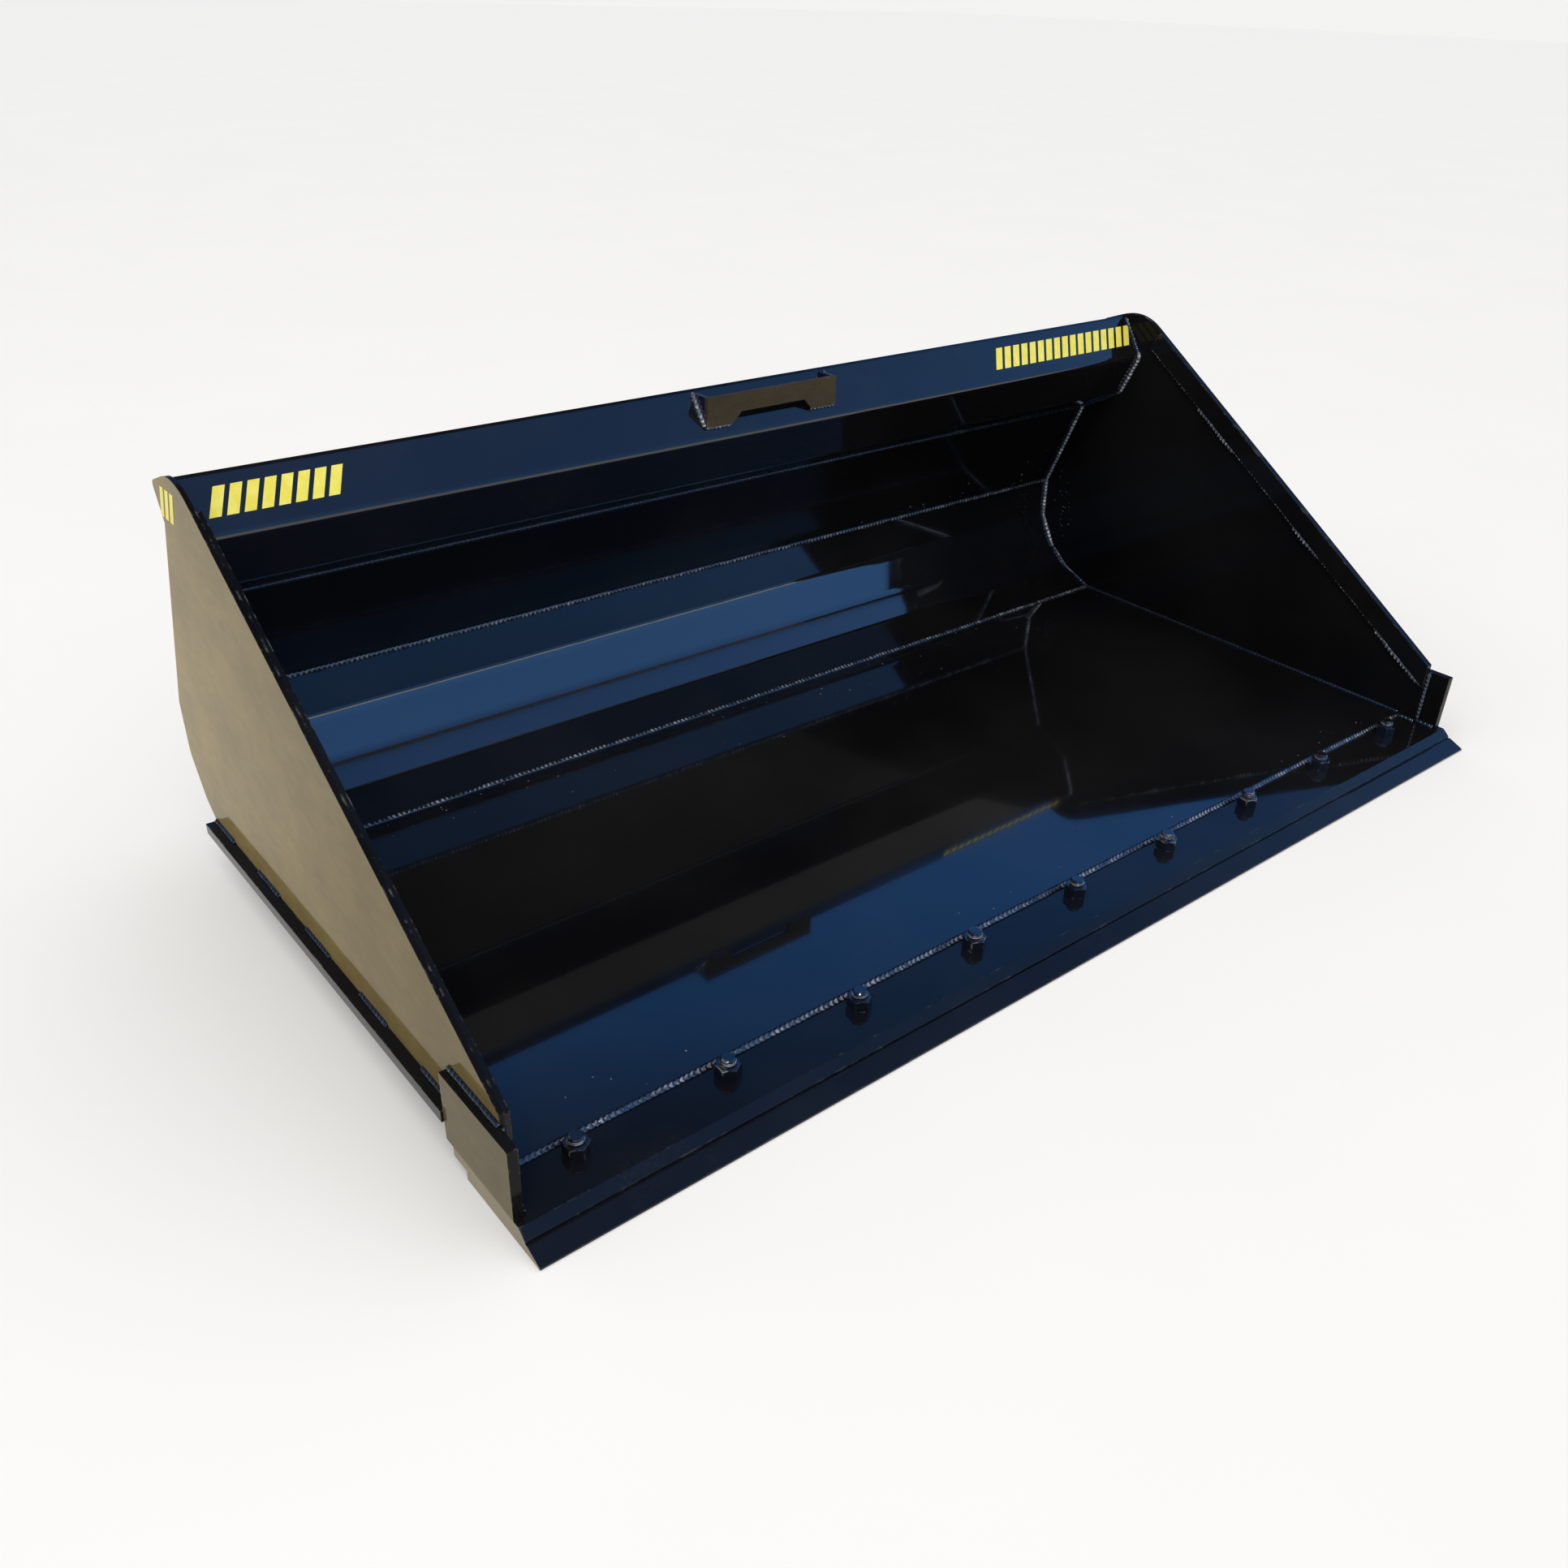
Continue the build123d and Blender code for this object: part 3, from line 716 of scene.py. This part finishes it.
for index in range(22):
    x = random.uniform(-0.85, 0.85)
    away = random.uniform(0.010, 0.06)
    spot = Vector((x, floor_low.y + away, floor_high.z))
    drops.append(blob(spot, Z, random.uniform(0.0007, 0.0016), 110 + index))
spatter = bead_paint("spatter", (0.03, 0.03, 0.035), (0.20, 0.20, 0.22))
piece("weld_spatter", drops, spatter)

# Metres, except the steps in one turn and the steps over which a thread's ends fade. The root is sunk in
# the shank.
THREAD_PITCH, THREAD_DEPTH, THREAD_STEPS = 0.00231, 0.0007, 24
THREAD_FADE = 8
THREAD_ROOT = -0.0003


def thread(x, y, low, high, radius):
    """Raised helical thread around a bolt's end, as (vertices, faces, no crests)."""
    turns = (high - low) / THREAD_PITCH - 1
    vertices, faces = [], []
    count = round(turns * THREAD_STEPS)
    for index in range(count + 1):
        turn = 2 * math.pi * index / THREAD_STEPS
        z = low + THREAD_PITCH * index / THREAD_STEPS
        ridge = THREAD_DEPTH * min(1.0, index / THREAD_FADE, (count - index) / THREAD_FADE)
        for reach, rise in ((THREAD_ROOT, 0.0), (ridge, 0.4), (ridge, 0.6), (THREAD_ROOT, 1.0)):
            reach += radius
            around = (x + reach * math.cos(turn), y + reach * math.sin(turn))
            vertices.append(Vector((*around, z + rise * THREAD_PITCH)))
        if index:
            here, before = index * 4, index * 4 - 4
            for step in range(4):
                after = (step + 1) % 4
                faces.append((before + step, here + step, here + after, before + after))
    faces.append((0, 1, 2, 3))
    faces.append(tuple(count * 4 + step for step in (3, 2, 1, 0)))
    return vertices, faces, None


bolt_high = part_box("plow_bolts")[1]
# Half the pitch of the bolts. Each bolt's axis is at a whole number of it, so its points share one column.
COLUMN_WIDTH = 0.1016
NEAR_BOLT = 0.02
THREAD_END = 0.001
THREAD_SUNK = 0.4
bolt_points = [vertex.co for vertex in nodes["plow_bolts"].data.vertices]
tops = [v for v in bolt_points if v.z > bolt_high.z - END_TOLERANCE]
columns = sorted({round(v.x / COLUMN_WIDTH) for v in tops})
threads = []
for column in columns:
    own = [v for v in tops if round(v.x / COLUMN_WIDTH) == column]
    x = (min(v.x for v in own) + max(v.x for v in own)) / 2
    y = (min(v.y for v in own) + max(v.y for v in own)) / 2
    shank = [v for v in bolt_points if v.z > nut_high.z and abs(v.x - x) < NEAR_BOLT]
    radius = max(math.hypot(v.x - x, v.y - y) for v in shank)
    threads.append(thread(x, y, nut_high.z, bolt_high.z - THREAD_END, radius - THREAD_DEPTH * THREAD_SUNK))
# Bolt threads, pale in patchy runs: bare steel in part, and in part a painted highlight.
thread_steel_and_glints = bead_paint("thread_steel_and_glints", (0.02, 0.02, 0.022), (0.34, 0.34, 0.36))
piece("bolt_threads", threads, thread_steel_and_glints)


# ---------------------------------------------------------------- stickers

STICKER_LIFT = 0.0004
STICKER_SUNK = 0.0001
SLANT = 0.45


def slanted(origin, along, up, normal, start, width, low, high):
    """Slanted yellow bar lying on a surface, as (vertices, faces, no crests)."""
    corners = []
    for rise, shift in ((low, 0.0), (high, 0.0), (high, width), (low, width)):
        corners.append(origin + along * (start + shift + rise * SLANT) + up * rise)
    vertices = [corner + normal * STICKER_LIFT for corner in corners]
    vertices += [corner - normal * STICKER_SUNK for corner in corners]
    faces = [(3, 2, 1, 0), (4, 5, 6, 7), (0, 1, 5, 4), (1, 2, 6, 5), (2, 3, 7, 6), (3, 0, 4, 7)]
    return vertices, faces, None


def bars(origin, along, up, normal, start, end, low, high, count, gap):
    """A row of slanted bars of one height. The places along and up are metres from the origin."""
    pitch = (end - start) / count
    starts = [start + index * pitch for index in range(count)]
    return [slanted(origin, along, up, normal, place, pitch - gap, low, high) for place in starts]


def sticker(name, parts):
    """Yellow sticker with sharp edges."""
    made = piece(name, parts, vinyl)
    made.data.shade_flat()


# One plain, even row of bars at each end of the band: its start and end along the band, and its count.
# They stand where the real bucket has lettering, and follow neither its letters nor its layout.
BAND_ROWS = {
    "sticker_band_left": (-0.874, -0.702, 8),
    "sticker_band_right": (0.502, 0.875, 17),
}
ROW_LOW = 0.018
ROW_HIGH = 0.056
ROW_GAP = 0.0065
band_origin = Vector((0, band_foot.y, band_foot.z))
for name, (start, end, count) in BAND_ROWS.items():
    sticker(name, bars(band_origin, X, band_up, band_out, start, end, ROW_LOW, ROW_HIGH, count, ROW_GAP))
PLATE_STICKER_DROP = 0.062
head_y = plate_loop[nearest(plate_loop, hook_root)].y
plate_spot = Vector((-outer_x, head_y, plate_high.z - PLATE_STICKER_DROP))
sticker("sticker_plate_left", bars(plate_spot, -Y, Z, -X, -0.006, 0.046, 0.0, 0.042, 3, 0.006))


# ---------------------------------------------------------------- floor, lights and camera

STAGE_REACH = 60.0
STAGE_DROP = 0.0002
stage_mesh = bpy.data.meshes.new("stage_floor")
corners = [(sx * STAGE_REACH, sy * STAGE_REACH, 0) for sx, sy in ((-1, -1), (1, -1), (1, 1), (-1, 1))]
stage_mesh.from_pydata(corners, [], [(0, 1, 2, 3)])
stage_floor = bpy.data.objects.new("stage_floor", stage_mesh)
bpy.context.scene.collection.objects.link(stage_floor)
stage_floor.location.z = cad_low.z - STAGE_DROP
floor_material, floor_tree, floor_shader = node_tree("stage_floor")
floor_nodes = Nodes(floor_tree)
floor_nodes.link(
    floor_nodes.mix(floor_nodes.noise(1.7, 4.0), (0.87, 0.86, 0.835), (0.90, 0.89, 0.865)),
    floor_shader.inputs["Base Color"],
)
floor_shader.inputs["Roughness"].default_value = 0.9
floor_shader.inputs["Specular IOR Level"].default_value = 0.1
stage_mesh.materials.append(floor_material)

# Studio dome: pale to the camera, even and neutral for soft light, and a clear-sky gradient in the gloss.
# The gradient differs towards the front and the back, and the two blend where a direction's Y is nearly 0.
BLEND_SPREAD = 0.12
world = bpy.data.worlds.new("studio")
bpy.context.scene.world = world
world.use_nodes = True
tree = world.node_tree
tree.nodes.clear()
output = tree.nodes.new("ShaderNodeOutputWorld")
rays = tree.nodes.new("ShaderNodeLightPath")
direction = tree.nodes.new("ShaderNodeTexCoord").outputs["Generated"]
axes = tree.nodes.new("ShaderNodeSeparateXYZ")
tree.links.new(direction, axes.inputs["Vector"])


def sky_ramp(stops):
    """Colour against height above the horizon."""
    ramp = tree.nodes.new("ShaderNodeValToRGB")
    elements = ramp.color_ramp.elements
    while len(elements) < len(stops):
        elements.new(0.5)
    for element, (place, colour) in zip(elements, stops):
        element.position = place
        element.color = (*colour, 1.0)
    tree.links.new(axes.outputs["Z"], ramp.inputs["Fac"])
    return ramp.outputs["Color"]


def blended(factor, a, b):
    """Colour mix with a linked or plain factor."""
    mix = tree.nodes.new("ShaderNodeMix")
    mix.data_type = "RGBA"
    tree.links.new(factor, mix.inputs["Factor"])
    for socket, value in ((mix.inputs[6], a), (mix.inputs[7], b)):
        if isinstance(value, tuple):
            socket.default_value = (*value, 1.0)
        else:
            tree.links.new(value, socket)
    return mix.outputs[2]


front_sky = sky_ramp([
    (0.0, (0.16, 0.42, 0.95)), (0.35, (0.13, 0.41, 1.0)), (0.55, (0.12, 0.36, 0.9)),
    (0.75, (0.10, 0.28, 0.72)), (1.0, (0.06, 0.17, 0.45)),
])
back_sky = sky_ramp([
    (0.0, (0.10, 0.13, 0.19)), (0.33, (0.06, 0.10, 0.19)), (0.45, (0.055, 0.19, 0.54)),
    (0.56, (0.05, 0.24, 0.70)), (0.65, (0.045, 0.21, 0.60)), (0.71, (0.03, 0.09, 0.24)),
    (0.79, (0.012, 0.022, 0.06)), (1.0, (0.004, 0.006, 0.012)),
])
behind = tree.nodes.new("ShaderNodeMapRange")
behind.inputs["From Min"].default_value = -BLEND_SPREAD
behind.inputs["From Max"].default_value = BLEND_SPREAD
tree.links.new(axes.outputs["Y"], behind.inputs["Value"])
sky = blended(behind.outputs["Result"], front_sky, back_sky)
FILL = (0.86, 0.87, 0.89)
BACKGROUND = (0.90, 0.90, 0.89)
seen = blended(rays.outputs["Is Glossy Ray"], FILL, sky)
seen = blended(rays.outputs["Is Camera Ray"], seen, BACKGROUND)
background = tree.nodes.new("ShaderNodeBackground")
tree.links.new(seen, background.inputs["Color"])
tree.links.new(background.outputs["Background"], output.inputs["Surface"])


def light(name, kind, energy, place, target, colour=(1, 1, 1), **settings):
    """A light aimed at a point."""
    data = bpy.data.lights.new(name, kind)
    data.energy = energy
    data.color = colour
    for key, value in settings.items():
        setattr(data, key, value)
    lamp = bpy.data.objects.new(name, data)
    bpy.context.scene.collection.objects.link(lamp)
    lamp.location = place
    lamp.rotation_euler = (Vector(target) - Vector(place)).to_track_quat("-Z", "Y").to_euler()
    return lamp


middle = (cad_low + cad_high) / 2
soft = light("softbox", "AREA", 16.0, (-1.6, -0.6, 3.6), middle, shape="RECTANGLE", size=3.0, size_y=2.2)
soft.visible_glossy = False
light("key", "SUN", 0.7, (-2.2, -2.6, 4.4), middle, colour=(1.0, 0.96, 0.90), angle=math.radians(4))

CAMERA_PLACE = Vector((-1.3367, -1.4132, 1.1169))
CAMERA_RIGHT = Vector((0.7776, -0.6282, 0.0285))
CAMERA_UP = Vector((0.2982, 0.4082, 0.8627))
CAMERA_LENS = 31.41
camera_data = bpy.data.cameras.new("camera")
camera_data.sensor_width = 36.0
camera_data.lens = CAMERA_LENS
camera = bpy.data.objects.new("camera", camera_data)
bpy.context.scene.collection.objects.link(camera)
back_way = CAMERA_RIGHT.cross(CAMERA_UP).normalized()
right_way = CAMERA_UP.cross(back_way).normalized()
camera.matrix_world = Matrix((
    (right_way.x, CAMERA_UP.x, back_way.x, CAMERA_PLACE.x),
    (right_way.y, CAMERA_UP.y, back_way.y, CAMERA_PLACE.y),
    (right_way.z, CAMERA_UP.z, back_way.z, CAMERA_PLACE.z),
    (0, 0, 0, 1),
))
bpy.context.scene.camera = camera
bpy.context.scene.view_settings.view_transform = "Standard"
